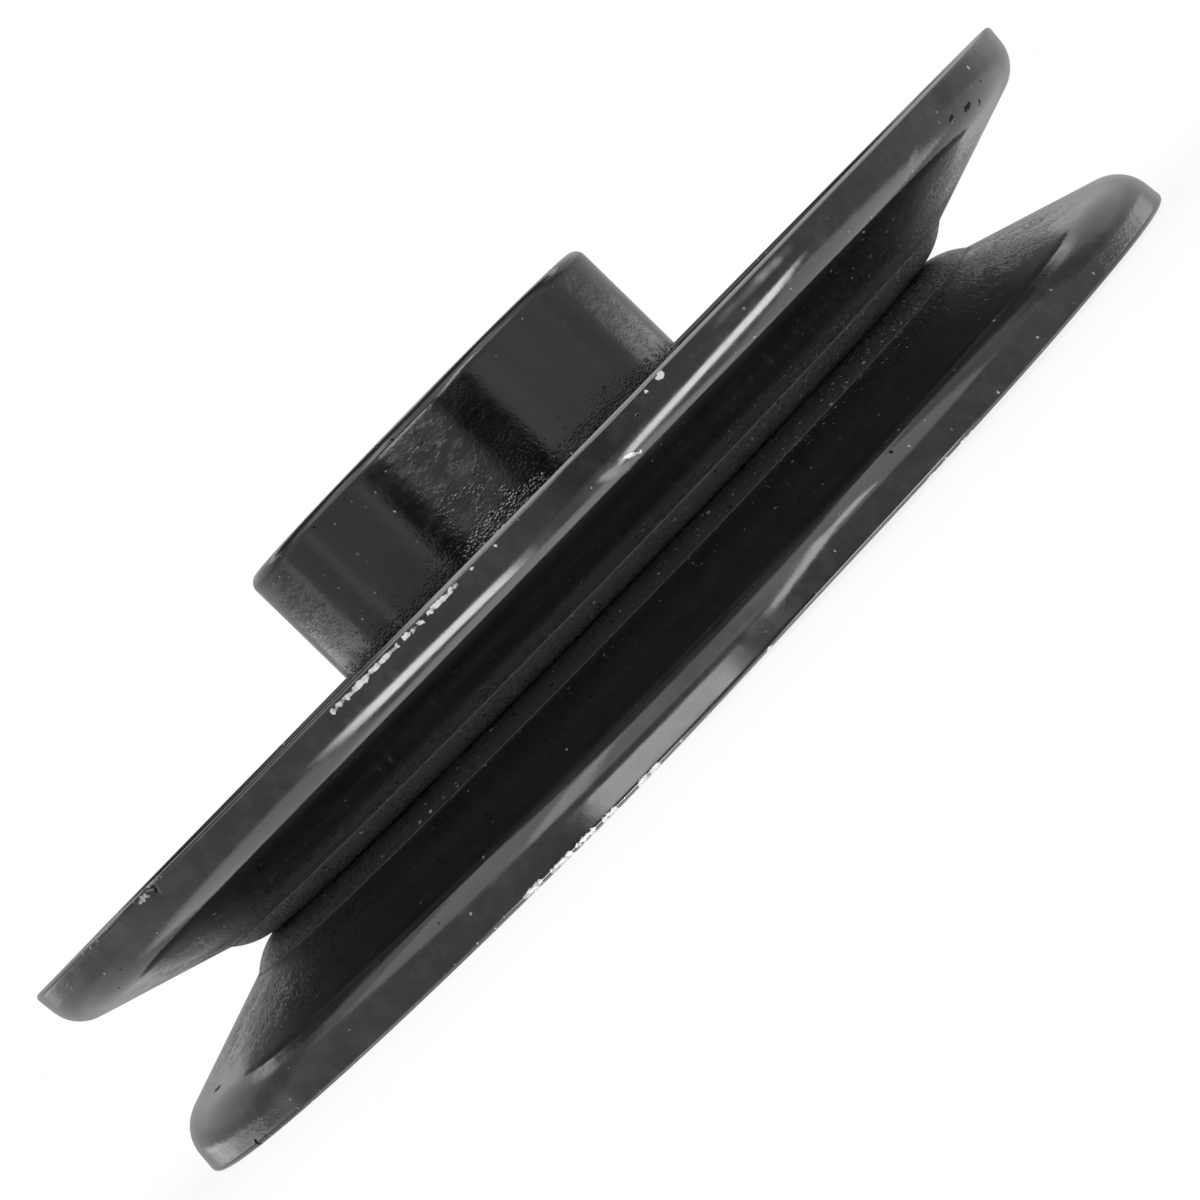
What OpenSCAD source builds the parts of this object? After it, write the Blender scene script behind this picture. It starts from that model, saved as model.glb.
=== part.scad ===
// Pressed steel V-belt pulley for a mower deck.
// Two sheet discs lie back to back, and a turned hub stands on one of them in a fillet weld.
// Millimetres. Z runs along the shaft, from the edge of the far lip at Z = 0 to the hub's end.

/* [Discs] */
// Outside diameter over the lips
outside_d = 146.05; // [130:0.05:170]
// Thickness of the sheet
sheet_t = 3; // [2:0.1:3.6]
// Diameter of the flat web
web_d = 98.6; // [92:0.2:106]
// Radius of the bend at the root of the groove, on the groove side
root_bend_r = 8; // [6:0.1:10]
// Slope of the short step that rises from the root
step_angle = 39; // [32:1:46]
// Straight length of that step
step_flat = 0.4; // [0.2:0.1:1.5]
// Radius in the corner between the step and the groove wall, on the groove side
corner_r = 1; // [0.5:0.1:2]
// Included angle of the V groove
groove_angle = 36.2; // [32:0.1:40]
// Radius of the bend into the lip, on the groove side
lip_bend_r = 4.5; // [4:0.1:6]
// Lean of the lip from the axis
lip_lean = 6; // [0:0.5:10]
// Straight width of the lip past its bend
lip_flat = 2.3; // [1.5:0.1:4]
// Rounding of the lip's cut edge
lip_edge_r = 0.5; // [0.2:0.1:0.9]

/* [Spot welds] */
// Number of spot welds that join the webs
spot_count = 6; // [4:1:10]
// Diameter of the circle that they lie on
spot_circle_d = 78; // [74:1:84]
// Diameter of the mark that the electrode leaves
spot_d = 7; // [5:0.5:9]
// Depth of that mark
spot_depth = 0.4; // [0.2:0.1:0.8]

/* [Hub] */
// Diameter of the hub
hub_d = 50.8; // [46:0.1:56]
// Height of the hub above the web
hub_h = 25.15; // [18:0.05:40]
// Rounding at the hub's end
hub_edge_r = 1.3; // [0.5:0.1:2]
// Diameter of the spigot that centres both discs
spigot_d = 38.1; // [36:0.1:44]
// Gap around the spigot in the discs' holes
spigot_clearance = 0.05; // [0.02:0.01:0.2]
// Diameter of the shaft bore
bore_d = 25.4; // [19:0.05:27]
// Chamfer at both ends of the bore
bore_chamfer = 0.8; // [0.3:0.1:1.5]
// Width of the keyway
key_w = 6.35; // [4:0.05:8]
// Depth of the keyway past the bore's wall
key_depth = 3; // [2:0.1:3.6]

/* [Weld] */
// Leg length of the fillet weld round the hub
weld_leg = 4; // [2.5:0.1:5]
// How far the weld's face is rounded, as a share of the leg
weld_crown = 0.6; // [0.3:0.1:2]

/* [Hidden] */
$fn = 128;
paint = "#1c1c1e";
weld_paint = "#232325";

// Largest turn of a rounded corner between two of its points, in degrees
bend_step = 5;
// Extra length of a cutting tool past the faces that it cuts
past = 1;

outside_r = outside_d / 2;
hub_r = hub_d / 2;
bore_r = bore_d / 2;
spigot_r = spigot_d / 2;
hole_r = spigot_r + spigot_clearance;
wall_angle = groove_angle / 2;
lip_angle = 90 - lip_lean;

function along(a) = [cos(a), sin(a)];
function left_of(a) = [-sin(a), cos(a)];
function heading(p, q) = atan2(q[1] - p[1], q[0] - p[0]);
function turn_between(a, b) = (b - a + 540) % 360 - 180;
function setback(r, turn) = r * tan(abs(turn) / 2);

// The same corner on the sheet's other face, between runs that head along angles a and b
function other_face(p, a, b) = p + sheet_t * (left_of(a) + left_of(b)) / (1 + cos(b - a));

// One corner q of an outline, between p and s, rounded to radius r
function rounded(p, q, s, r) =
    let (
        a = heading(p, q),
        turn = turn_between(a, heading(q, s)),
        n = ceil(abs(turn) / bend_step),
        centre = q - setback(r, turn) * along(a) + sign(turn) * r * left_of(a)
    )
    r == 0 ? [q] : [for (i = [0:n]) centre - sign(turn) * r * left_of(a + turn * i / n)];

// An outline from its sharp corners, each given as [point, radius]
function outline(corners) =
    let (n = len(corners))
    [for (i = [0:n - 1])
        each rounded(corners[(i + n - 1) % n][0], corners[i][0], corners[(i + 1) % n][0], corners[i][1])];

// Sharp corners of the disc's groove face, from the web out to the lip's edge.
// Here the first number is the radius, and the second is the height above the web's back.
root_corner = [web_d / 2 + setback(root_bend_r, step_angle), 0];
step_run = setback(root_bend_r, step_angle) + step_flat + setback(corner_r, step_angle - wall_angle);
wall_corner = root_corner + step_run * along(step_angle);
lip_run = setback(lip_bend_r, lip_angle - wall_angle) + lip_flat;
// The sharp edge stands this far outside the rounded one, which is the widest point
edge_trim = setback(lip_edge_r, 180 - lip_angle) * cos(lip_angle) - lip_edge_r * (1 - sin(lip_angle));
edge_r = outside_r + edge_trim;
wall_run = (edge_r - wall_corner[0] - lip_run * cos(lip_angle)) / cos(wall_angle);
lip_corner = wall_corner + wall_run * along(wall_angle);
lip_edge = lip_corner + lip_run * along(lip_angle);

// The same corners on the dish face, one sheet thickness away
root_dish = other_face(root_corner, 0, step_angle);
wall_dish = other_face(wall_corner, step_angle, wall_angle);
lip_dish = other_face(lip_corner, wall_angle, lip_angle);
lip_edge_dish = lip_dish + (lip_edge[1] - lip_dish[1]) / sin(lip_angle) * along(lip_angle);

// Heights of the plane where the webs meet, of the web's two dish faces and of the hub's end
web_z = lip_edge[1];
dish_z = web_z + sheet_t;
far_dish_z = web_z - sheet_t;
hub_top_z = dish_z + hub_h;

// One pressed disc, with its web's back on Z = 0 and its lip pointing up
module pressed_disc() {
    difference() {
        rotate_extrude() polygon(outline([
            [[hole_r, 0], 0],
            [root_corner, root_bend_r],
            [wall_corner, corner_r],
            [lip_corner, lip_bend_r],
            [lip_edge, lip_edge_r],
            [lip_edge_dish, lip_edge_r],
            [lip_dish, lip_bend_r - sheet_t],
            [wall_dish, corner_r + sheet_t],
            [root_dish, root_bend_r - sheet_t],
            [[hole_r, sheet_t], 0],
        ]));
        for (i = [0:spot_count - 1])
            rotate([0, 0, (i + 0.5) * 360 / spot_count])
                translate([spot_circle_d / 2, 0, sheet_t - spot_depth])
                    cylinder(h = spot_depth + past, d = spot_d);
    }
}

module hub_side_disc() {
    color(paint) translate([0, 0, web_z]) pressed_disc();
}

module far_side_disc() {
    color(paint) translate([0, 0, web_z]) mirror([0, 0, 1]) pressed_disc();
}

// The hub's shoulder sits on the web, and its spigot ends level with the far web
module hub() {
    color(paint) difference() {
        rotate_extrude() polygon(outline([
            [[bore_r + bore_chamfer, far_dish_z], 0],
            [[spigot_r, far_dish_z], 0],
            [[spigot_r, dish_z], 0],
            [[hub_r, dish_z], 0],
            [[hub_r, hub_top_z], hub_edge_r],
            [[bore_r + bore_chamfer, hub_top_z], 0],
            [[bore_r, hub_top_z - bore_chamfer], 0],
            [[bore_r, far_dish_z + bore_chamfer], 0],
        ]));
        translate([-key_w / 2, 0, far_dish_z - past])
            cube([key_w, bore_r + key_depth, hub_top_z - far_dish_z + 2 * past]);
    }
}

// Fillet weld in the corner between the hub and the web, with a crowned face
module hub_weld_bead() {
    sunk = weld_leg / weld_crown;
    face_r = norm([weld_leg + sunk, sunk]);
    toe = atan2(sunk, weld_leg + sunk);
    n = ceil((90 - 2 * toe) / bend_step);
    face = [for (i = [0:n]) [hub_r - sunk, dish_z - sunk] + face_r * along(toe + (90 - 2 * toe) * i / n)];
    color(weld_paint) rotate_extrude() polygon(concat([[hub_r, dish_z]], face));
}

hub_side_disc();
far_side_disc();
hub();
hub_weld_bead();
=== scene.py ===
import math

import bmesh
import bpy
import numpy as np
from mathutils import Matrix, Vector


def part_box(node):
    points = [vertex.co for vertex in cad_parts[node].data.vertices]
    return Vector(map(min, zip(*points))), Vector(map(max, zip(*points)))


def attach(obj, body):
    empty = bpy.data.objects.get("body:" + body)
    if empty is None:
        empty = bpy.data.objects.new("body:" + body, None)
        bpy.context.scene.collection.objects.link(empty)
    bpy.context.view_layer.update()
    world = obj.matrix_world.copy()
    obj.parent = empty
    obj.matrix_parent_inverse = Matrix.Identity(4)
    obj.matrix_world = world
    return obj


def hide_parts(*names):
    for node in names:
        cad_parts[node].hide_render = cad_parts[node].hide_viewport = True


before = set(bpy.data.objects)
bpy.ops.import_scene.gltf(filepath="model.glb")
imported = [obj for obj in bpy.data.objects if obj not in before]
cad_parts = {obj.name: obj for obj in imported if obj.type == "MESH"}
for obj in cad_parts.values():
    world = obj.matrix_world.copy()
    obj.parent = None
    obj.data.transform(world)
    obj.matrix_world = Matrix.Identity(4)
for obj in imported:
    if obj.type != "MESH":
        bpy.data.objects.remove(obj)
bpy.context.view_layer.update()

scene = bpy.context.scene
scene.view_settings.view_transform = "Standard"


# Far-side disc: one blank of 3 mm steel sheet, pressed into a flat web, a short step, a groove
# wall and a curled lip. It lies with its lip's cut edge on the ground and its back to the other
# disc, and spot welds through both webs hold the pair. Sprayed black over unpolished steel.
MM = 0.001
OUTSIDE_R = 73.025 * MM
SHEET = 3 * MM
HOLE_R = 19.1 * MM
WEB_R = 49.3 * MM
ROOT_BEND_R = 8 * MM
STEP_ANGLE = math.radians(39)
STEP_FLAT = 0.4 * MM
CORNER_R = 1 * MM
WALL_ANGLE = math.radians(18.1)
LIP_BEND_R = 4.5 * MM
LIP_ANGLE = math.radians(84)
LIP_FLAT = 2.3 * MM
LIP_EDGE_R = 0.5 * MM
SPOT_COUNT = 6
SPOT_CIRCLE_R = 39 * MM
SPOT_R = 3.5 * MM
SPOT_DEPTH = 0.4 * MM
ROUND_STEPS = 320
BEND_STEP = math.radians(5)
WEB_RING = 0.8 * MM
WEB_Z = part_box("hub_side_disc")[0].z
CREASE_R = 54.79 * MM
DISH_END_R = 69 * MM
LIP_START_R = 60 * MM
LIP_EASE = 4 * MM
SHARP_FROM = math.radians(35)


def setback(radius, turn):
    return radius * math.tan(abs(turn) / 2)


def straight_run(bm, tip, heading, length, cuts=1):
    """Draws the line on from its tip in a straight run of even parts."""
    part = Vector((math.cos(heading), 0, math.sin(heading))) * (length / cuts)
    for _ in range(cuts):
        tip = bmesh.ops.extrude_vert_indiv(bm, verts=[tip])["verts"][0]
        tip.co += part
    return tip


def held_run(bm, tip, heading, length):
    """A straight run with a short part at each end, which keeps its shading flat beside a bend."""
    end = min(0.3 * MM, length / 4)
    tip = straight_run(bm, tip, heading, end)
    tip = straight_run(bm, tip, heading, length - 2 * end)
    return straight_run(bm, tip, heading, end)


def bend(bm, tip, heading, radius, turn):
    """Draws the line on round a bend, and returns its new tip and heading."""
    side = math.copysign(math.pi / 2, turn)
    to_centre = Vector((math.cos(heading + side), 0, math.sin(heading + side)))
    arc = bmesh.ops.spin(
        bm, geom=[tip], cent=tip.co + radius * to_centre, axis=(0, -1, 0),
        angle=turn, steps=math.ceil(abs(turn) / BEND_STEP))
    return next(v for v in arc["geom_last"] if isinstance(v, bmesh.types.BMVert)), heading + turn


def pressed_section(bm):
    """The disc's section in the XZ plane, web back on Z = 0: groove face out, dish face back."""
    to_wall = WALL_ANGLE - STEP_ANGLE
    to_lip = LIP_ANGLE - WALL_ANGLE
    root_r = WEB_R + setback(ROOT_BEND_R, STEP_ANGLE)
    step = setback(ROOT_BEND_R, STEP_ANGLE) + STEP_FLAT + setback(CORNER_R, to_wall)
    lip = setback(LIP_BEND_R, to_lip) + LIP_FLAT
    edge_turn = math.pi - LIP_ANGLE
    edge_r = (OUTSIDE_R + setback(LIP_EDGE_R, edge_turn) * math.cos(LIP_ANGLE)
              - LIP_EDGE_R * (1 - math.sin(LIP_ANGLE)))
    wall = (edge_r - root_r - step * math.cos(STEP_ANGLE) - lip * math.cos(LIP_ANGLE)) / math.cos(WALL_ANGLE)
    wall_flat = wall - setback(CORNER_R, to_wall) - setback(LIP_BEND_R, to_lip)
    edge_flat = (SHEET / math.sin(LIP_ANGLE) - setback(LIP_EDGE_R, edge_turn)
                 - setback(LIP_EDGE_R, LIP_ANGLE))

    first = bm.verts.new((HOLE_R, 0, 0))
    tip, heading = straight_run(bm, first, 0, WEB_R - HOLE_R, 2), 0
    tip, heading = bend(bm, tip, heading, ROOT_BEND_R, STEP_ANGLE)
    tip = straight_run(bm, tip, heading, STEP_FLAT)
    tip, heading = bend(bm, tip, heading, CORNER_R, to_wall)
    tip = held_run(bm, tip, heading, wall_flat)
    tip, heading = bend(bm, tip, heading, LIP_BEND_R, to_lip)
    tip = held_run(bm, tip, heading, LIP_FLAT - setback(LIP_EDGE_R, edge_turn))
    tip, heading = bend(bm, tip, heading, LIP_EDGE_R, edge_turn)
    tip = straight_run(bm, tip, heading, edge_flat, 2)
    tip, heading = bend(bm, tip, heading, LIP_EDGE_R, LIP_ANGLE)
    slant = SHEET * (1 / math.tan(LIP_ANGLE))
    inner_flat = LIP_FLAT - setback(LIP_EDGE_R, LIP_ANGLE) - slant
    tip = held_run(bm, tip, heading, inner_flat)
    tip, heading = bend(bm, tip, heading, LIP_BEND_R - SHEET, -to_lip)
    tip = held_run(bm, tip, heading, wall_flat)
    tip, heading = bend(bm, tip, heading, CORNER_R + SHEET, -to_wall)
    tip = straight_run(bm, tip, heading, STEP_FLAT)
    tip, heading = bend(bm, tip, heading, ROOT_BEND_R - SHEET, -STEP_ANGLE)
    web = tip.co.x - HOLE_R
    tip = straight_run(bm, tip, heading, web, math.ceil(web / WEB_RING))
    bm.edges.new((tip, first))


def spin_round(bm, steps=ROUND_STEPS):
    """Spins a section in the XZ plane once round the shaft's axis into a closed skin."""
    bmesh.ops.spin(
        bm, geom=bm.verts[:] + bm.edges[:], cent=(0, 0, 0), axis=(0, 0, 1),
        angle=math.tau, steps=steps, use_merge=True)
    bmesh.ops.remove_doubles(bm, verts=bm.verts[:], dist=0.001 * MM)


def press_spot_marks(bm):
    """Sinks the shallow round marks of the spot welding electrodes into the web's dish face."""
    for i in range(SPOT_COUNT):
        turn = math.tau * (i + 0.5) / SPOT_COUNT
        centre = Vector((SPOT_CIRCLE_R * math.cos(turn), SPOT_CIRCLE_R * math.sin(turn), SHEET))
        for v in bm.verts:
            gap = (v.co - centre).length
            if gap < SPOT_R and abs(v.co.z - SHEET) < 0.01 * MM:
                share = min(1, (1 - gap / SPOT_R) * 3)
                v.co.z -= SPOT_DEPTH * share * share * (3 - 2 * share)


def finished(name, bm, slot, *nodes):
    """Makes the piece's object, smooth but for its sharp edges, and puts it in its CAD nodes' place."""
    bmesh.ops.recalc_face_normals(bm, faces=bm.faces[:])
    mesh = bpy.data.meshes.new(name)
    bm.to_mesh(mesh)
    bm.free()
    mesh.shade_smooth()
    mesh.set_sharp_from_angle(angle=SHARP_FROM)
    piece = bpy.data.objects.new(name, mesh)
    scene.collection.objects.link(piece)
    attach(piece, "root")
    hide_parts(*nodes)
    return piece


def add(nodes, kind, *values, **settings):
    """Adds a node; its inputs, in order, take the values, and a socket among them is linked."""
    node = nodes.new("ShaderNode" + kind)
    for key, value in settings.items():
        setattr(node, key, value)
    for socket, value in zip([s for s in node.inputs if s.enabled], values):
        if isinstance(value, bpy.types.NodeSocket):
            nodes.id_data.links.new(value, socket)
        elif value is not None:
            socket.default_value = value
    return node


def first_out(node):
    return next(s for s in node.outputs if s.enabled)


def maths(nodes, operation, *values):
    return add(nodes, "Math", *values, operation=operation).outputs[0]


def noise(nodes, where, scale, detail=2.0, rough=0.5):
    node = add(nodes, "TexNoise", where)
    node.inputs["Scale"].default_value = scale
    node.inputs["Detail"].default_value = detail
    node.inputs["Roughness"].default_value = rough
    return node.outputs[0]


def ramp(nodes, value, low, high, to_low=0.0, to_high=1.0):
    node = add(nodes, "MapRange", value, low, high, to_low, to_high, interpolation_type="SMOOTHSTEP")
    return node.outputs[0]


def mixed(nodes, share, a, b):
    return first_out(add(nodes, "Mix", share, a, b, data_type="RGBA"))


def shader_group(name, inputs, outputs):
    """An empty shader node group with its sockets, and its input and output nodes."""
    group = bpy.data.node_groups.new(name, "ShaderNodeTree")
    for socket, kind, value in inputs:
        made = group.interface.new_socket(socket, in_out="INPUT", socket_type=kind)
        if value is not None:
            made.default_value = value
    for socket in outputs:
        group.interface.new_socket(socket, in_out="OUTPUT", socket_type="NodeSocketFloat")
    return group, group.nodes.new("NodeGroupInput"), group.nodes.new("NodeGroupOutput")


# Sprayed paint: soft orange peel all over, in millimetres of height, pimples of scale and spatter
# under it where the mask asks for them, and here and there a pit
paint_skin, given, made = shader_group(
    "sprayed_paint_skin",
    [("Where", "NodeSocketVector", None), ("Peel", "NodeSocketFloat", 0.004),
     ("Dents", "NodeSocketFloat", 0.0), ("Lines", "NodeSocketFloat", 0.0),
     ("Pits", "NodeSocketFloat", 0.05), ("Pimples", "NodeSocketFloat", 0.0),
     ("Grain", "NodeSocketFloat", 1900.0)],
    ["Height", "Mottle", "Pit"])
n = paint_skin.nodes
waves = noise(n, given.outputs["Where"], 700, 2.0, 0.45)
peel = maths(n, "MULTIPLY", waves, given.outputs["Peel"])
dents = maths(n, "MULTIPLY", noise(n, given.outputs["Where"], 400, 1.0), given.outputs["Dents"])
flat = add(n, "VectorMath", given.outputs["Where"], (1, 1, 0), operation="MULTIPLY").outputs["Vector"]
around = add(n, "VectorMath", flat, operation="NORMALIZE").outputs["Vector"]
lines = maths(n, "MULTIPLY", noise(n, around, 170, 2.0), given.outputs["Lines"])
peel = maths(n, "ADD", maths(n, "ADD", peel, dents), lines)
grain = add(n, "TexVoronoi", given.outputs["Where"])
paint_skin.links.new(given.outputs["Grain"], grain.inputs["Scale"])
pimple = ramp(n, grain.outputs["Distance"], 0.05, 0.65, 1.0, 0.0)
clumps = ramp(n, noise(n, given.outputs["Where"], 420, 1.0), 0.38, 0.6, 0.2, 1.0)
raised = maths(n, "MULTIPLY", maths(n, "MULTIPLY", pimple, clumps), given.outputs["Pimples"])
hole = add(n, "TexVoronoi", given.outputs["Where"])
hole.inputs["Scale"].default_value = 480
drawn = add(n, "SeparateColor", hole.outputs["Color"]).outputs[0]
chosen = maths(n, "LESS_THAN", drawn, given.outputs["Pits"])
pit = maths(n, "MULTIPLY", ramp(n, hole.outputs["Distance"], 0.05, 0.12, 1.0, 0.0), chosen)
mottle = noise(n, given.outputs["Where"], 110, 5.0, 0.65)
height = maths(n, "MULTIPLY_ADD", pit, -0.05, maths(n, "ADD", peel, raised))
paint_skin.links.new(height, made.inputs["Height"])
paint_skin.links.new(mottle, made.inputs["Mottle"])
paint_skin.links.new(pit, made.inputs["Pit"])


def speck_layer(nodes, where, scale, amount, small, large):
    """Grains in the cells of a scale, some of them left out, each with its own size and paleness."""
    cell = add(nodes, "TexVoronoi", where)
    cell.inputs["Scale"].default_value = scale
    drawn = add(nodes, "SeparateColor", cell.outputs["Color"])
    size = ramp(nodes, drawn.outputs[1], 0.0, 1.0, small, large)
    core = maths(nodes, "MULTIPLY", size, 0.5)
    spot = ramp(nodes, cell.outputs["Distance"], core, size, 1.0, 0.0)
    kept = maths(nodes, "LESS_THAN", drawn.outputs[0], amount)
    paleness = ramp(nodes, drawn.outputs[2], 0.1, 1.0, 0.1, 0.9)
    return maths(nodes, "MULTIPLY", maths(nodes, "MULTIPLY", spot, kept), paleness)


# Dust: single pale grains on the paint, coarse and fine, of uneven shape
dust_specks, given, made = shader_group(
    "dust_specks",
    [("Where", "NodeSocketVector", None), ("Amount", "NodeSocketFloat", 0.2)],
    ["Speck"])
n = dust_specks.nodes
stray = add(n, "TexNoise", given.outputs["Where"])
stray.inputs["Scale"].default_value = 3000
strayed = add(
    n, "VectorMath", stray.outputs["Color"], (0.4 * MM, 0.4 * MM, 0.4 * MM), given.outputs["Where"],
    operation="MULTIPLY_ADD").outputs["Vector"]
coarse = speck_layer(n, strayed, 600, maths(n, "MULTIPLY", given.outputs["Amount"], 0.5), 0.07, 0.2)
fine = speck_layer(n, strayed, 1700, given.outputs["Amount"], 0.13, 0.34)
dust_specks.links.new(maths(n, "MAXIMUM", coarse, fine), made.inputs["Speck"])

# Chips: paint is knocked off in ragged flakes where the mask is high; the same ragged shape also outlines the
# painted shade of gouges and nicks
ragged_chips, given, made = shader_group(
    "ragged_chips",
    [("Where", "NodeSocketVector", None), ("Struck", "NodeSocketFloat", 0.0)],
    ["Chip"])
n = ragged_chips.nodes
flakes = noise(n, given.outputs["Where"], 1300, 3.0, 0.7)
chip = maths(n, "ADD", flakes, maths(n, "MULTIPLY_ADD", given.outputs["Struck"], 0.42, -0.42))
ragged_chips.links.new(ramp(n, chip, 0.44, 0.52), made.inputs["Chip"])


def group_node(nodes, group, **values):
    node = nodes.new("ShaderNodeGroup")
    node.node_tree = group
    for name, value in values.items():
        if isinstance(value, bpy.types.NodeSocket):
            nodes.id_data.links.new(value, node.inputs[name])
        else:
            node.inputs[name].default_value = value
    return node


BLACK_PAINT = (0.0062, 0.0062, 0.0066, 1)
BLACK_PAINT_FADED = (0.0105, 0.0105, 0.0108, 1)
# Painted shade for the inside of pits, gouges and nicks
HOLLOW_SHADE = (0.004, 0.004, 0.004, 1)
BARE_STEEL = (0.56, 0.555, 0.545, 1)
STAINED_STEEL = (0.22, 0.217, 0.21, 1)
DUST = (0.48, 0.47, 0.45, 1)
# Pale dust, also used for the painted highlights along the crease and the lip's corner
DUST_AND_HIGHLIGHT_FILM = (0.27, 0.267, 0.26, 1)


def paint_material(name, peel, dents, lines, grain, stretch, pits, pimples, bared, shaded_gouges, dust_and_highlight, specks):
    """Black paint, with masks that each take the material's nodes and Object position."""
    material = bpy.data.materials.new(name)
    material.use_nodes = True
    nodes = material.node_tree.nodes
    links = material.node_tree.links
    shader = nodes["Principled BSDF"]
    where = nodes.new("ShaderNodeTexCoord").outputs["Object"]
    along = add(nodes, "VectorMath", where, stretch, operation="MULTIPLY").outputs["Vector"]
    skin = group_node(
        nodes, paint_skin, Where=along, Peel=peel, Dents=dents, Lines=lines, Grain=grain,
        Pits=pits(nodes, where), Pimples=pimples(nodes, where))
    dust = group_node(nodes, dust_specks, Where=where, Amount=specks(nodes, where)).outputs["Speck"]
    bare = group_node(nodes, ragged_chips, Where=where, Struck=bared(nodes, where)).outputs["Chip"]
    gouge_shade = group_node(nodes, ragged_chips, Where=where, Struck=shaded_gouges(nodes, where)).outputs["Chip"]
    dust_and_highlight_mask = dust_and_highlight(nodes, where)
    mottle = skin.outputs["Mottle"]
    colour = mixed(nodes, ramp(nodes, mottle, 0.3, 0.7), BLACK_PAINT, BLACK_PAINT_FADED)
    # Pale dust film, which also paints the highlights along the crease and on the hub-side lip's corner
    colour = mixed(nodes, dust_and_highlight_mask, colour, DUST_AND_HIGHLIGHT_FILM)
    colour = mixed(nodes, dust, colour, DUST)
    stains = ramp(nodes, noise(nodes, where, 1300, 3.0), 0.35, 0.6)
    colour = mixed(nodes, bare, colour, mixed(nodes, stains, STAINED_STEEL, BARE_STEEL))
    # Painted shade: pits, gouges and nicks turn near black, rougher and metallic, so that they mirror almost
    # nothing, in place of the shade inside them
    hollow_shade = maths(nodes, "MAXIMUM", gouge_shade, skin.outputs["Pit"])
    colour = mixed(nodes, hollow_shade, colour, HOLLOW_SHADE)
    rough = ramp(nodes, mottle, 0.35, 0.65, 0.07, 0.15)
    rough = maths(nodes, "MULTIPLY_ADD", dust_and_highlight_mask, 0.7, rough)
    rough = maths(nodes, "MULTIPLY_ADD", dust, 0.5, rough)
    rough = maths(nodes, "MULTIPLY_ADD", bare, 0.3, rough)
    rough = maths(nodes, "MULTIPLY_ADD", hollow_shade, 0.6, rough)
    bump = nodes.new("ShaderNodeBump")
    bump.inputs["Strength"].default_value = 1
    bump.inputs["Distance"].default_value = MM
    links.new(skin.outputs["Height"], bump.inputs["Height"])
    links.new(colour, shader.inputs["Base Color"])
    links.new(rough, shader.inputs["Roughness"])
    metal = maths(nodes, "MAXIMUM", maths(nodes, "MULTIPLY", bare, 0.25), hollow_shade)
    links.new(metal, shader.inputs["Metallic"])
    links.new(bump.outputs[0], shader.inputs["Normal"])
    shader.inputs["IOR"].default_value = 1.5
    return material


def radius_of(nodes, where):
    flat = add(nodes, "VectorMath", where, (1, 1, 0), operation="MULTIPLY").outputs["Vector"]
    return add(nodes, "VectorMath", flat, operation="LENGTH").outputs["Value"]


def height_of(nodes, where):
    return add(nodes, "SeparateXYZ", where).outputs["Z"]


def turn_of(nodes, where):
    """Degrees round the shaft, from the front and growing to the right."""
    axes = add(nodes, "SeparateXYZ", where).outputs
    turn = maths(nodes, "ARCTAN2", axes["X"], maths(nodes, "MULTIPLY", axes["Y"], -1.0))
    return maths(nodes, "DEGREES", turn)


def window(nodes, value, low, high, soft):
    """One between low and high, falling to nothing over the soft width around each."""
    rise = ramp(nodes, value, low - soft / 2, low + soft / 2)
    fall = ramp(nodes, value, high - soft / 2, high + soft / 2, 1.0, 0.0)
    return maths(nodes, "MULTIPLY", rise, fall)


def windows(nodes, value, spans, soft):
    """The sum of several windows, each given by its two ends and its strength."""
    total = 0.0
    for low, high, strength in spans:
        total = maths(nodes, "MULTIPLY_ADD", window(nodes, value, low, high, soft), strength, total)
    return total


def groove_pimples(nodes, where):
    """Rough low in the groove at both sides, smooth at the front and out on the lip."""
    rough = ramp(nodes, radius_of(nodes, where), 59 * MM, 69 * MM, 0.1, 0.006)
    aside = maths(nodes, "ABSOLUTE", turn_of(nodes, where))
    rough = maths(nodes, "MULTIPLY", rough, ramp(nodes, aside, 25.0, 60.0, 0.15, 1.4))
    return maths(nodes, "MULTIPLY", rough, ramp(nodes, aside, 85.0, 115.0, 1.0, 0.1))


def groove_pits(nodes, where):
    return ramp(nodes, radius_of(nodes, where), 67 * MM, 71 * MM, 0.75, 0.1)


def dust_and_crease_highlight(nodes, where, root_from, root_to, root_strength):
    """Dust that fades between two radii in the groove, a painted highlight along the crease, smears on the
    lip.
    """
    radius = radius_of(nodes, where)
    root = ramp(nodes, radius, root_from, root_to, root_strength, 0.015)
    patches = ramp(nodes, noise(nodes, where, 1900, 3.0, 0.6), 0.35, 0.65, 0.8, 1.05)
    # Painted highlight: a thin pale line along the crease, where the bend catches the light
    crease_highlight = window(nodes, radius, CREASE_R - 0.15 * MM, CREASE_R + 0.15 * MM, 0.12 * MM)
    dust_and_highlight = maths(nodes, "MULTIPLY", maths(nodes, "MULTIPLY_ADD", crease_highlight, 1.4 * root_strength, root), patches)
    smear = ramp(nodes, noise(nodes, where, 420, 3.0, 0.65), 0.42, 0.7, 0.0, 0.05)
    lip = ramp(nodes, radius, 71.8 * MM, 72.6 * MM)
    return maths(nodes, "MULTIPLY_ADD", smear, lip, dust_and_highlight)


def far_dust_and_highlight(nodes, where):
    return dust_and_crease_highlight(nodes, where, 54 * MM, 57 * MM, 0.15)


def groove_specks(nodes, where):
    """Dust grains, thick in the groove's root on the right and sparse elsewhere."""
    low = ramp(nodes, radius_of(nodes, where), 55 * MM, 61 * MM, 1.0, 0.07)
    right = ramp(nodes, turn_of(nodes, where), -5.0, 40.0, 0.15, 1.0)
    return maths(nodes, "MULTIPLY", low, right)


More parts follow.
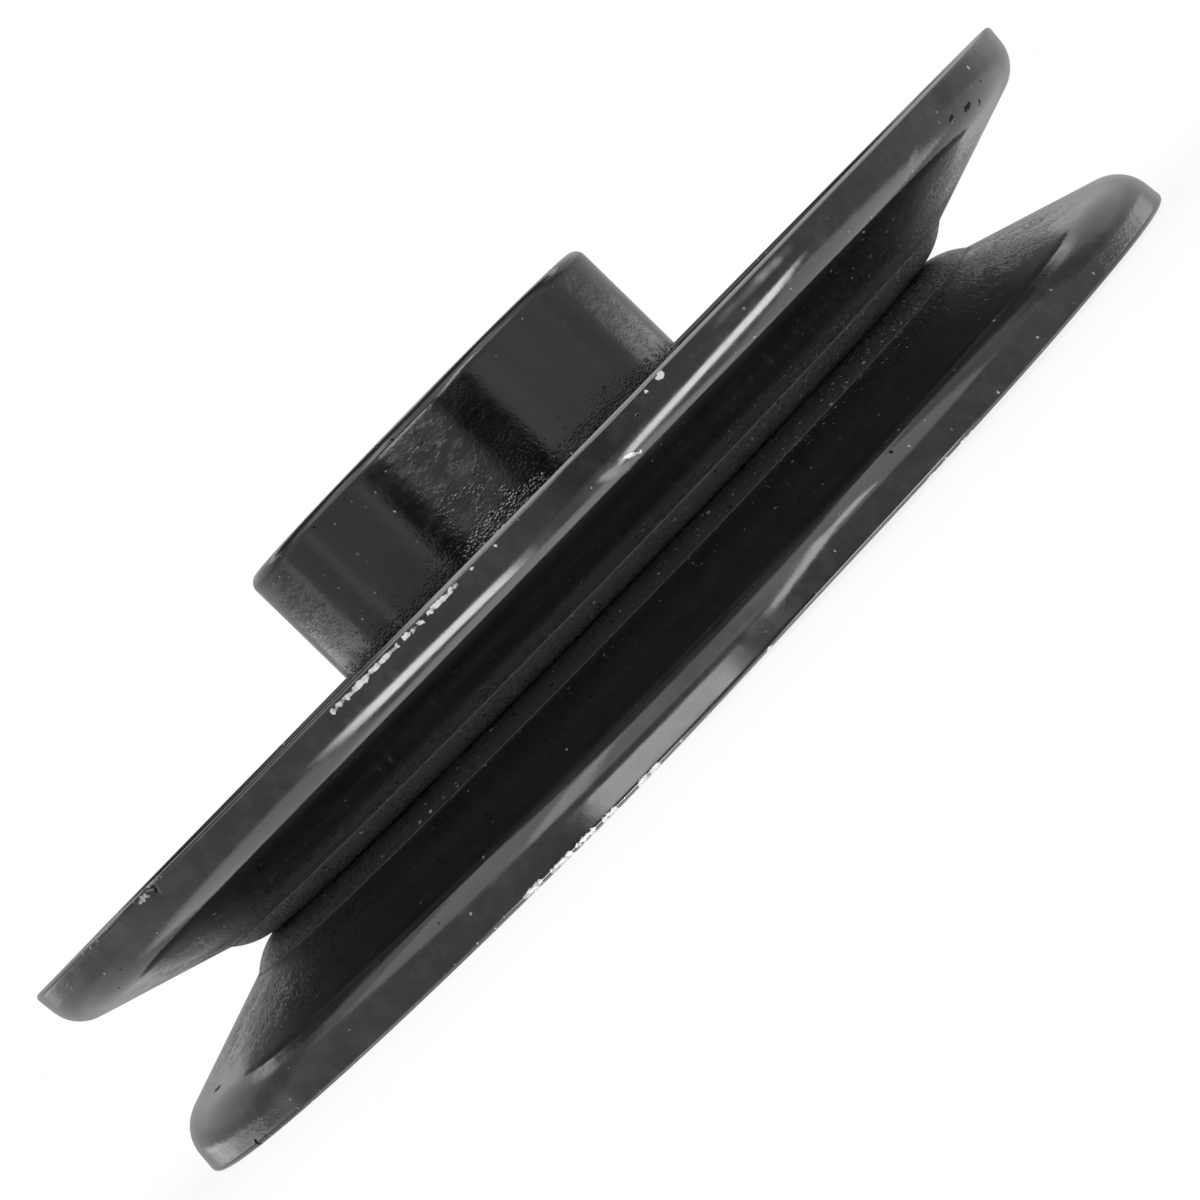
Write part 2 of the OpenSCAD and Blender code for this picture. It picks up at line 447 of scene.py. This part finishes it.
def far_lip_chips(nodes, where):
    """Chips along the cut edge, in a few places where the pulley was dragged."""
    edge = ramp(nodes, height_of(nodes, where), 0.1 * MM, 0.65 * MM, 1.0, 0.0)
    struck = windows(
        nodes, turn_of(nodes, where),
        [(-20.4, -18.3, 0.8), (-17.5, -15.1, 0.75), (-14.6, -12.4, 0.5), (-11.8, -10.1, 0.65),
         (-8, -5.6, 0.75), (5.8, 6.5, 0.6), (19.6, 20.4, 0.5), (22.1, 23.4, 0.6), (24, 27.3, 0.8),
         (28.3, 30.3, 0.75)], 0.5)
    return maths(nodes, "MULTIPLY", edge, maths(nodes, "ADD", struck, 0.5))


def bell(nodes, value, low, high):
    """Nothing outside low and high, and one half-way."""
    return window(nodes, value, low + (high - low) / 4, high - (high - low) / 4, (high - low) / 2)


def far_gouge_shade(nodes, where):
    """Painted shade of a gouge on the left of the groove wall, and of a nick on the cut edge under it."""
    turn = turn_of(nodes, where)
    wall = bell(nodes, radius_of(nodes, where), 67.7 * MM, 69.5 * MM)
    gouge = maths(nodes, "MULTIPLY", bell(nodes, turn, -72, -66), wall)
    nick = maths(
        nodes, "MULTIPLY", bell(nodes, turn, -61.8, -60.2),
        ramp(nodes, height_of(nodes, where), 0.3 * MM, 1.2 * MM, 1.0, 0.0))
    return maths(nodes, "MULTIPLY", maths(nodes, "ADD", gouge, nick), 1.3)


def no_marks(nodes, where):
    return 0.0


def thin_film(nodes, where):
    return ramp(nodes, noise(nodes, where, 200, 3.0), 0.45, 0.9, 0.0, 0.03)


def few_specks(nodes, where):
    return ramp(nodes, noise(nodes, where, 50), 0.3, 0.7, 0.01, 0.06)


def dish_pits(nodes, where):
    return ramp(nodes, noise(nodes, where, 80), 0.4, 0.6, 0.0, 0.15)


def dish_pimples(nodes, where):
    """Faint roughness where the spray pooled."""
    return ramp(nodes, noise(nodes, where, 60), 0.4, 0.7, 0.0, 0.006)


def paint_dish(disc, side):
    """Plain paint on the faces of the dish, which lies on the side of the web given as 1 or -1."""
    disc.data.materials.append(dish_paint)
    for face in disc.data.polygons:
        radius = face.center.to_2d().length
        inward = -face.normal.to_2d().dot(face.center.to_2d()) / radius
        if inward > 0.5 or (face.normal.z * side > 0.5 and radius < DISH_END_R):
            face.material_index = 1


def trim_lip(bm, edge_z, places):
    """Moves the cut edge by millimetres at places round the shaft, and eases the lip into it."""
    for v in bm.verts:
        share = 1 - abs(v.co.z - edge_z) / LIP_EASE
        if share <= 0 or v.co.to_2d().length < LIP_START_R:
            continue
        turn = math.degrees(math.atan2(v.co.x, -v.co.y))
        for (turn_a, lift_a), (turn_b, lift_b) in zip(places, places[1:]):
            if turn_a <= turn <= turn_b:
                part = (turn - turn_a) / (turn_b - turn_a)
                lift = lift_a + (lift_b - lift_a) * part * part * (3 - 2 * part)
        v.co.z += lift * MM * share


bm = bmesh.new()
pressed_section(bm)
spin_round(bm)
press_spot_marks(bm)
bmesh.ops.scale(bm, vec=(1, 1, -1), verts=bm.verts[:])
bmesh.ops.translate(bm, vec=(0, 0, WEB_Z), verts=bm.verts[:])
# The sheet was drawn unevenly, so the lip is a little wide on the left and narrow right of the front
trim_lip(bm, 0, [
    (-180, 0), (-110, -0.2), (-70, -0.3), (-14, -0.3), (18, 0.22), (45, 0.19), (75, 0), (180, 0)])
far_disc = finished("far_disc", bm, "disc_paint", "far_side_disc")
far_disc.data.materials.append(paint_material(
    "far_disc_black_paint", peel=0.003, dents=0.02, lines=0.002, grain=2200, stretch=(1, 1, 1),
    pits=groove_pits, pimples=groove_pimples, bared=far_lip_chips, shaded_gouges=far_gouge_shade,
    dust_and_highlight=far_dust_and_highlight, specks=groove_specks))
dish_paint = paint_material(
    "dish_black_paint", peel=0.012, dents=0.01, lines=0.002, grain=1900, stretch=(1, 1, 1),
    pits=dish_pits, pimples=dish_pimples, bared=no_marks, shaded_gouges=no_marks,
    dust_and_highlight=thin_film, specks=few_specks)
paint_dish(far_disc, -1)


# Hub-side disc: the same pressing the other way up, so the two groove walls face each other. The
# hub stands in its dish. Its lip has had the knocks: flakes are off below the edge, and it has a nick.
def lip_drop(nodes, where):
    """Distance below the lip's cut edge."""
    return maths(nodes, "SUBTRACT", 2 * WEB_Z, height_of(nodes, where))


def patch(nodes, turn, drop, turns, drops):
    """A ragged patch of the lip, given by its turns in degrees and its drops in millimetres."""
    return maths(
        nodes, "MULTIPLY", bell(nodes, turn, *turns), bell(nodes, drop, drops[0] * MM, drops[1] * MM))


def hub_side_lip_chips(nodes, where):
    """A row of flakes below the edge at the front, single ones beside it, on the bend and at the nick."""
    drop = lip_drop(nodes, where)
    turn = turn_of(nodes, where)
    corner = ramp(nodes, drop, 0.1 * MM, 0.5 * MM, 0.5, 0.0)
    row = bell(nodes, drop, 0.2 * MM, 1.55 * MM)
    flaked = windows(
        nodes, turn,
        [(-22, -21.2, 0.95), (-20.6, -12.8, 1.3), (-12.6, -10.3, 1.15), (-9.9, -6.2, 1.2), (-5.4, -4.8, 1.1),
         (-4.2, -3.8, 1.1), (-2.9, -2.4, 1.1), (-0.2, 0.2, 1.0), (13.2, 13.7, 1.1), (14.6, 15.6, 1.2)], 0.7)
    struck = maths(nodes, "MAXIMUM", corner, maths(nodes, "MULTIPLY", row, flaked))
    slant = maths(nodes, "MULTIPLY_ADD", drop, -1.4 / MM, turn)
    for along, turns, drops in [(slant, (2.6, 4.4), (3.3, 5.0)), (turn, (-47.9, -44.2), (-0.4, 1.3))]:
        knocked = maths(nodes, "MULTIPLY", patch(nodes, along, drop, turns, drops), 1.45)
        struck = maths(nodes, "MAXIMUM", struck, knocked)
    return struck


def hub_side_gouge_shade(nodes, where):
    """Painted shade in gouges on the right end of the lip, and in the nick on the left."""
    drop = lip_drop(nodes, where)
    turn = turn_of(nodes, where)
    struck = 0.0
    for turns, drops in [((55.0, 61.0), (3.4, 5.2)), ((53.0, 56.0), (3.2, 4.6)), ((60.0, 63.0), (4.3, 5.5)),
                         ((-45.0, -43.8), (-0.4, 1.8))]:
        gouged = maths(nodes, "MULTIPLY", patch(nodes, turn, drop, turns, drops), 1.3)
        struck = maths(nodes, "MAXIMUM", struck, gouged)
    return struck


def hub_side_dust_and_highlight(nodes, where):
    """Dust high up the groove wall with a painted highlight on the crease, the lip's corner made pale from
    the front on as a painted highlight with some wear, and a scuff.
    """
    drop = lip_drop(nodes, where)
    turn = turn_of(nodes, where)
    corner = ramp(nodes, drop, 0.3 * MM, 0.6 * MM, 0.95, 0.0)
    # Painted highlight with some wear: the lip's rounded corner made pale from the front round to the right
    rubbed_and_highlit = maths(nodes, "MULTIPLY", corner, window(nodes, turn, -12.0, 75.0, 10.0))
    streaks = ramp(nodes, noise(nodes, where, 700, 4.0), 0.3, 0.7, 0.6, 1.2)
    along = windows(nodes, turn, [(21.0, 30.3, 0.2), (25.7, 28.7, 0.4)], 2.0)
    scuff = maths(nodes, "MULTIPLY", along, bell(nodes, drop, 0.6 * MM, 1.9 * MM))
    mark = patch(nodes, maths(nodes, "MULTIPLY_ADD", drop, 1.4 / MM, turn), drop, (50.6, 53.4), (3.0, 4.8))
    scuff = maths(nodes, "MULTIPLY_ADD", mark, 0.45, scuff)
    knock = patch(nodes, maths(nodes, "MULTIPLY_ADD", drop, -1.4 / MM, turn), drop, (0.4, 2.8), (3.2, 5.2))
    scuff = maths(nodes, "MULTIPLY_ADD", knock, 0.8, scuff)
    rubbed_and_highlit = maths(nodes, "MAXIMUM", rubbed_and_highlit, maths(nodes, "MULTIPLY", scuff, streaks))
    return maths(nodes, "MAXIMUM", rubbed_and_highlit, dust_and_crease_highlight(nodes, where, 57.5 * MM, 61.5 * MM, 0.28))


NICK_TURN = -44.4
NICK_WIDTH = 0.7
NICK_DEPTH = 0.45 * MM
NICK_REACH = 1.5 * MM
NICK_FROM_R = 68 * MM

bm = bmesh.new()
pressed_section(bm)
spin_round(bm)
press_spot_marks(bm)
bmesh.ops.translate(bm, vec=(0, 0, WEB_Z), verts=bm.verts[:])
# Extra cuts through the lip, so that the nick is as narrow as the real one
for turn in (-1, -0.5, 0, 0.5, 1):
    angle = math.radians(NICK_TURN + turn * NICK_WIDTH)
    out = Vector((math.sin(angle), -math.cos(angle), 0))
    lip = [f for f in bm.faces if out.dot(f.calc_center_median()) > NICK_FROM_R]
    around = {item for f in lip for item in (f, *f.edges, *f.verts)}
    bmesh.ops.bisect_plane(
        bm, geom=list(around), dist=0.001 * MM, plane_co=(0, 0, 0),
        plane_no=(math.cos(angle), math.sin(angle), 0))
for v in bm.verts:
    aside = abs(math.degrees(math.atan2(v.co.x, -v.co.y)) - NICK_TURN) / NICK_WIDTH
    drop = (2 * WEB_Z - v.co.z) / NICK_REACH
    if aside < 1 and drop < 1 and v.co.to_2d().length > NICK_FROM_R:
        share = (1 - aside) * (1 - drop)
        v.co.z -= NICK_DEPTH * share
        v.co.xy *= 1 - NICK_DEPTH * share / OUTSIDE_R
trim_lip(bm, 2 * WEB_Z, [
    (-180, 0), (-110, 0.2), (-70, 0.28), (-28, -0.02), (18, -0.2), (45, -0.14), (75, -0.18), (180, 0)])
near_disc = finished("hub_side_disc_pressing", bm, "disc_paint", "hub_side_disc")
near_disc.data.materials.append(paint_material(
    "hub_side_disc_black_paint", peel=0.003, dents=0.007, lines=0.002, grain=2200, stretch=(1, 1, 1),
    pits=groove_pits, pimples=groove_pimples, bared=hub_side_lip_chips, shaded_gouges=hub_side_gouge_shade,
    dust_and_highlight=hub_side_dust_and_highlight, specks=groove_specks))
paint_dish(near_disc, 1)


# Hub: turned from round steel bar, with a shoulder on the web and a spigot through both discs.
# The bore has a chamfer at each end, and a keyway is broached through it. Sprayed with the discs.
HUB_R = 25.4 * MM
HUB_EDGE_R = 1.3 * MM
SPIGOT_R = 19.05 * MM
BORE_R = 12.7 * MM
BORE_CHAMFER = 0.8 * MM
KEY_WIDTH = 6.35 * MM
KEY_DEPTH = 3 * MM
DISH_Z = WEB_Z + SHEET
FAR_DISH_Z = WEB_Z - SHEET
HUB_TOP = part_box("hub")[1].z
QUARTER = math.pi / 2

bm = bmesh.new()
first = bm.verts.new((BORE_R + BORE_CHAMFER, 0, FAR_DISH_Z))
tip = straight_run(bm, first, 0, SPIGOT_R - BORE_R - BORE_CHAMFER)
tip = straight_run(bm, tip, QUARTER, DISH_Z - FAR_DISH_Z)
tip = straight_run(bm, tip, 0, HUB_R - SPIGOT_R)
tip = held_run(bm, tip, QUARTER, HUB_TOP - HUB_EDGE_R - DISH_Z)
tip, heading = bend(bm, tip, QUARTER, HUB_EDGE_R, QUARTER)
tip = held_run(bm, tip, heading, HUB_R - HUB_EDGE_R - BORE_R - BORE_CHAMFER)
tip = straight_run(bm, tip, math.radians(225), BORE_CHAMFER * math.sqrt(2))
tip = straight_run(bm, tip, 3 * QUARTER, HUB_TOP - FAR_DISH_Z - 2 * BORE_CHAMFER)
bm.edges.new((tip, first))
spin_round(bm)


def cut_keyway(bm):
    """Broaches the keyway through the whole length of the bore."""
    block = bmesh.new()
    size = (KEY_WIDTH, BORE_R + KEY_DEPTH, 2 * HUB_TOP)
    bmesh.ops.create_cube(block, size=1, matrix=Matrix.Diagonal((*size, 1)))
    bmesh.ops.translate(block, vec=(0, size[1] / 2, 0), verts=block.verts[:])
    pair = []
    for name, shape in (("blank", bm), ("broach", block)):
        mesh = bpy.data.meshes.new(name)
        shape.to_mesh(mesh)
        shape.free()
        pair.append(bpy.data.objects.new(name, mesh))
        scene.collection.objects.link(pair[-1])
    blank, broach = pair
    cut = blank.modifiers.new("keyway", "BOOLEAN")
    cut.operation = "DIFFERENCE"
    cut.solver = "EXACT"
    cut.object = broach
    result = blank.evaluated_get(bpy.context.evaluated_depsgraph_get())
    keyed = bmesh.new()
    keyed.from_mesh(result.to_mesh())
    result.to_mesh_clear()
    for piece in pair:
        bpy.data.objects.remove(piece)
    return keyed


bmesh.ops.recalc_face_normals(bm, faces=bm.faces[:])
bm = cut_keyway(bm)


def hub_pimples(nodes, where):
    """Bar scale under the paint, and weld spatter at the hub's foot."""
    rise = height_of(nodes, where)
    foot = ramp(nodes, rise, 26.5 * MM, 28 * MM, 0.03, 0.0)
    foot = maths(nodes, "MULTIPLY", foot, ramp(nodes, radius_of(nodes, where), HUB_R - MM, HUB_R - 0.5 * MM))
    return maths(nodes, "ADD", foot, ramp(nodes, rise, 28 * MM, 36 * MM, 0.007, 0.002))


def hub_pits(nodes, where):
    return ramp(nodes, noise(nodes, where, 80), 0.4, 0.6, 0.1, 0.3)


def hub_end_chips(nodes, where):
    return ramp(nodes, height_of(nodes, where), HUB_TOP - 0.9 * MM, HUB_TOP, 0.0, 0.35)


hub = finished("turned_hub", bm, "hub_paint", "hub")
hub.data.materials.append(paint_material(
    "hub_black_paint", peel=0.017, dents=0.0, lines=0.004, grain=2100, stretch=(1.2, 1.2, 1.5),
    pits=hub_pits, pimples=hub_pimples, bared=hub_end_chips, shaded_gouges=no_marks,
    dust_and_highlight=thin_film, specks=few_specks))


# Weld bead: one run of fillet weld round the hub's foot, laid in short steps that overlap like
# scales, and painted with the rest.
WELD_LEG = 4 * MM
WELD_SUNK = WELD_LEG / 0.6
RIPPLE_COUNT = 96
RIPPLE_DEPTH = 0.08 * MM

bm = bmesh.new()
corner = bm.verts.new((HUB_R, 0, DISH_Z))
toe = math.atan2(WELD_SUNK, WELD_LEG + WELD_SUNK)
tip = straight_run(bm, corner, 0, WELD_LEG)
tip, _ = bend(bm, tip, QUARTER + toe, math.hypot(WELD_LEG + WELD_SUNK, WELD_SUNK), QUARTER - 2 * toe)
bm.edges.new((tip, corner))
spin_round(bm, RIPPLE_COUNT * 8)
for v in bm.verts:
    out = math.hypot(v.co.x, v.co.y) - HUB_R
    rise = v.co.z - DISH_Z
    if min(out, rise) > 0.01 * MM:
        lag = 0.25 * math.sin(math.pi * out / WELD_LEG)
        phase = (math.atan2(v.co.y, v.co.x) * RIPPLE_COUNT / math.tau + lag) % 1
        sink = RIPPLE_DEPTH * phase * min(1, 3 * min(out, rise) / WELD_LEG)
        around = Vector((v.co.x, v.co.y, 0)).normalized()
        v.co -= (around + Vector((0, 0, 1))) * sink


def weld_pimples(nodes, where):
    return ramp(nodes, noise(nodes, where, 150), 0.4, 0.7, 0.0, 0.04)


def weld_chips(nodes, where):
    return ramp(nodes, noise(nodes, where, 90), 0.3, 0.9, 0.0, 0.3)


weld = finished("weld_bead", bm, "weld_paint", "hub_weld_bead")
weld.data.materials.append(paint_material(
    "weld_black_paint", peel=0.01, dents=0.0, lines=0.002, grain=1900, stretch=(1, 1, 1),
    pits=hub_pits, pimples=weld_pimples, bared=weld_chips, shaded_gouges=no_marks,
    dust_and_highlight=thin_film, specks=few_specks))


# Shooting table: a pale sheet that the pulley stands on, white to the camera and with a soft shadow.
# The paint does not mirror it, but the lower half of the tent, with its strip lights, in its place.
FLOOR_SIZE = 6
# Just under the bent lip's lowest place
FLOOR_Z = -0.32 * MM
SHADOW_SHARE = 0.14
SHEET_WHITE = 0.92
# The lit part makes up what the sheet itself lacks to pure white
TABLE_GLOW = (1 - SHADOW_SHARE * SHEET_WHITE) / (1 - SHADOW_SHARE)

bm = bmesh.new()
bmesh.ops.create_grid(
    bm, x_segments=1, y_segments=1, size=FLOOR_SIZE / 2, matrix=Matrix.Translation((0, 0, FLOOR_Z)))
mesh = bpy.data.meshes.new("shooting_table")
bm.to_mesh(mesh)
bm.free()
floor = bpy.data.objects.new("shooting_table", mesh)
scene.collection.objects.link(floor)
floor.visible_glossy = False
sheet = bpy.data.materials.new("white_sheet")
sheet.use_nodes = True
nodes = sheet.node_tree.nodes
sheet_shader = nodes["Principled BSDF"]
sheet_shader.inputs["Base Color"].default_value = (SHEET_WHITE, SHEET_WHITE, SHEET_WHITE, 1)
sheet_shader.inputs["Roughness"].default_value = 0.8
glow = add(nodes, "Emission", (1, 1, 1, 1), TABLE_GLOW)
path = nodes.new("ShaderNodeLightPath")
seen = maths(nodes, "MAXIMUM", path.outputs["Is Camera Ray"], path.outputs["Is Glossy Ray"])
seen = maths(nodes, "MAXIMUM", seen, path.outputs["Is Transmission Ray"])
share = maths(nodes, "MULTIPLY", seen, 1 - SHADOW_SHARE)
blend = add(nodes, "MixShader", share, sheet_shader.outputs[0], glow.outputs[0])
sheet.node_tree.links.new(blend.outputs[0], nodes["Material Output"].inputs["Surface"])
mesh.materials.append(sheet)


# Studio: white light from all round, and a tent that only the paint's mirror images show. Its gray
# screens and flags make the dark bands in the paint, and its soft boxes and strips the bright ones.
world = bpy.data.worlds.new("white_studio")
scene.world = world
world.use_nodes = True
world.node_tree.nodes["Background"].inputs["Color"].default_value = (1, 1, 1, 1)
world.node_tree.nodes["Background"].inputs["Strength"].default_value = 1

TENT_R = 1.6
TENT_PANELS = [
    # name, turn from, to and its soft width, elevation from, to and its soft width, brightness, slope
    ("left_back_screen", -190, -112, 8, -40, 40, 8, 0.6, 0),
    ("right_back_screen", 112, 190, 8, -40, 40, 8, 0.66, 0),
    ("left_back_band", -190, -112, 8, -10, 10, 6, 0.42, 0),
    ("right_back_band", 112, 190, 8, -10, 10, 6, 0.46, 0),
    ("left_far_glow", -152, -118, 8, -1.0, 1.4, 1.4, 1.5, 0),
    ("right_far_glow", 118, 146, 8, -1.0, 1.4, 1.4, 1.35, 0),
    ("left_glow", -126, -104, 6, -1.4, 1.6, 1.6, 1.5, 0),
    ("right_glow", 104, 128, 6, -1.4, 1.6, 1.6, 1.65, 0),
    ("low_front_screen", -112, 112, 4, -32, -5.5, 3, 0.72, 0),
    ("high_front_screen", -112, 112, 4, 4.5, 36, 3, 0.72, 0),
    ("middle_panel", -26, 14, 3, -5, 4.5, 3, 0.56, 0),
    ("left_flag", -39, -24, 5, -5, 4.5, 5, 0.0, 0),
    ("right_flag", 12, 34, 5, -5, 4.5, 5, 0.0, 0),
    ("left_panel", -80, -47, 3, -5, 4.5, 3, 0.66, 0),
    ("left_side_panel", -107, -86, 4, -5, 4.5, 4, 0.52, 0),
    ("right_panel", 48, 80, 8, -5, 4.5, 3, 0.85, 0),
    ("right_middle_panel", 72, 100, 12, -5, 4.5, 3, 0.72, 0),
    ("right_side_panel", 92, 112, 4, -5, 4.5, 3, 0.54, 0),
    ("right_low_flag", 8, 26, 8, -26, -7, 8, 0.3, 0),
    ("ceiling_light", -180, 180, 0, 29, 68, 5, 2.2, 0),
    ("ceiling_shade", -180, 180, 0, 68, 90, 6, 0.3, 0),
    ("left_ceiling_end", -126, -92, 8, 28, 60, 6, 1.1, 0),
    ("right_ceiling_end", 84, 126, 8, 26, 60, 6, 0.85, 0),
    ("left_back_flag", -172, -114, 14, 32, 75, 6, 0.12, 0),
    ("right_back_flag", 114, 172, 14, 32, 75, 6, 0.12, 0),
    ("left_end_flag", -124, -106, 8, 8, 36, 8, 0.4, 0),
    ("right_end_flag", 104, 124, 8, 6, 36, 8, 0.3, 0),
    ("ceiling_gap", -4, 22, 8, 34, 66, 8, 1.6, 0),
    ("left_ceiling_box", -40, -24, 6, 30, 64, 8, 4.6, 0),
    ("front_soft_box", -25, 8, 3, 5, 14, 3, 7.5, 0),
    ("right_soft_box", 17, 40, 4, 24, 37, 5, 8.0, 1.31),
    ("right_top_box", 40, 51, 3, 37, 47, 4, 8.0, 0),
    ("left_strip", -50, -8, 14, -51, -31, 7, 16.0, -0.37),
    ("right_strip", 24, 64, 8, -47, -28, 7, 16.0, 0.6),
    ("left_table_light", -130, -58, 10, -65, -30, 10, 2.2, 0),
    ("right_table_light", 68, 130, 10, -65, -30, 10, 2.2, 0),
    ("table_light", -180, 180, 0, -90, -61, 6, 3.6, 0),
]


def eased(value, low, high):
    """Rises smoothly from nothing at low to one at high."""
    part = np.clip((value - low) / (high - low), 0, 1)
    return part * part * (3 - 2 * part)


def span(value, low, high, soft):
    """One between low and high, falling to nothing over the soft width around each."""
    return eased(value, low - soft / 2, low + soft / 2) * (1 - eased(value, high - soft / 2, high + soft / 2))


def tent_glow(turn, rise):
    """Brightness of the tent's wall: each panel covers those before it, and may slope about its middle."""
    glow = np.ones_like(turn)
    for _, turn_from, turn_to, turn_soft, rise_from, rise_to, rise_soft, brightness, slope in TENT_PANELS:
        share = span(rise - slope * (turn - (turn_from + turn_to) / 2), rise_from, rise_to, rise_soft)
        if turn_to - turn_from < 360:
            share *= span(turn, turn_from, turn_to, turn_soft)
        glow += share * (brightness - glow)
    return glow


bm = bmesh.new()
bmesh.ops.create_uvsphere(bm, u_segments=360, v_segments=180, radius=TENT_R)
mesh = bpy.data.meshes.new("light_tent")
bm.to_mesh(mesh)
bm.free()
places = np.empty(3 * len(mesh.vertices), dtype=np.float32)
mesh.vertices.foreach_get("co", places)
x, y, z = places.reshape(-1, 3).T
lit_wall = mesh.attributes.new("glow", "FLOAT", "POINT")
lit_wall.data.foreach_set(
    "value", tent_glow(np.degrees(np.arctan2(x, -y)), np.degrees(np.arcsin(np.clip(z / TENT_R, -1, 1)))))
tent = bpy.data.objects.new("light_tent", mesh)
scene.collection.objects.link(tent)
# It is seen only as a mirror image in the paint
tent.visible_camera = False
tent.visible_diffuse = False
tent.visible_shadow = False
tent.visible_transmission = False
material = bpy.data.materials.new("light_tent")
material.use_nodes = True
material.cycles.emission_sampling = "NONE"
nodes = material.node_tree.nodes
glow = nodes.new("ShaderNodeAttribute")
glow.attribute_name = "glow"
lit = add(nodes, "Emission", (1, 1, 1, 1), glow.outputs["Fac"])
material.node_tree.links.new(lit.outputs[0], nodes["Material Output"].inputs["Surface"])
mesh.materials.append(material)


# Camera: level with the hub's foot, close to the rim, and rolled so that the shaft's axis leans
# to the upper left.
CAMERA_DISTANCE = 0.54679
CAMERA_HEIGHT = WEB_Z + 0.01495
CAMERA_PITCH = -0.0281
CAMERA_YAW = 0.0003
CAMERA_ROLL = math.radians(-45.74)
CAMERA_LENS = 151.41

lens = bpy.data.cameras.new("camera")
lens.sensor_width = 36
lens.lens = CAMERA_LENS
lens.clip_start = 0.01
camera = bpy.data.objects.new("camera", lens)
scene.collection.objects.link(camera)
camera.matrix_world = (
    Matrix.Translation((0, -CAMERA_DISTANCE, CAMERA_HEIGHT))
    @ Matrix.Rotation(CAMERA_YAW, 4, "Z")
    @ Matrix.Rotation(math.pi / 2 + CAMERA_PITCH, 4, "X")
    @ Matrix.Rotation(CAMERA_ROLL, 4, "Z"))
scene.camera = camera
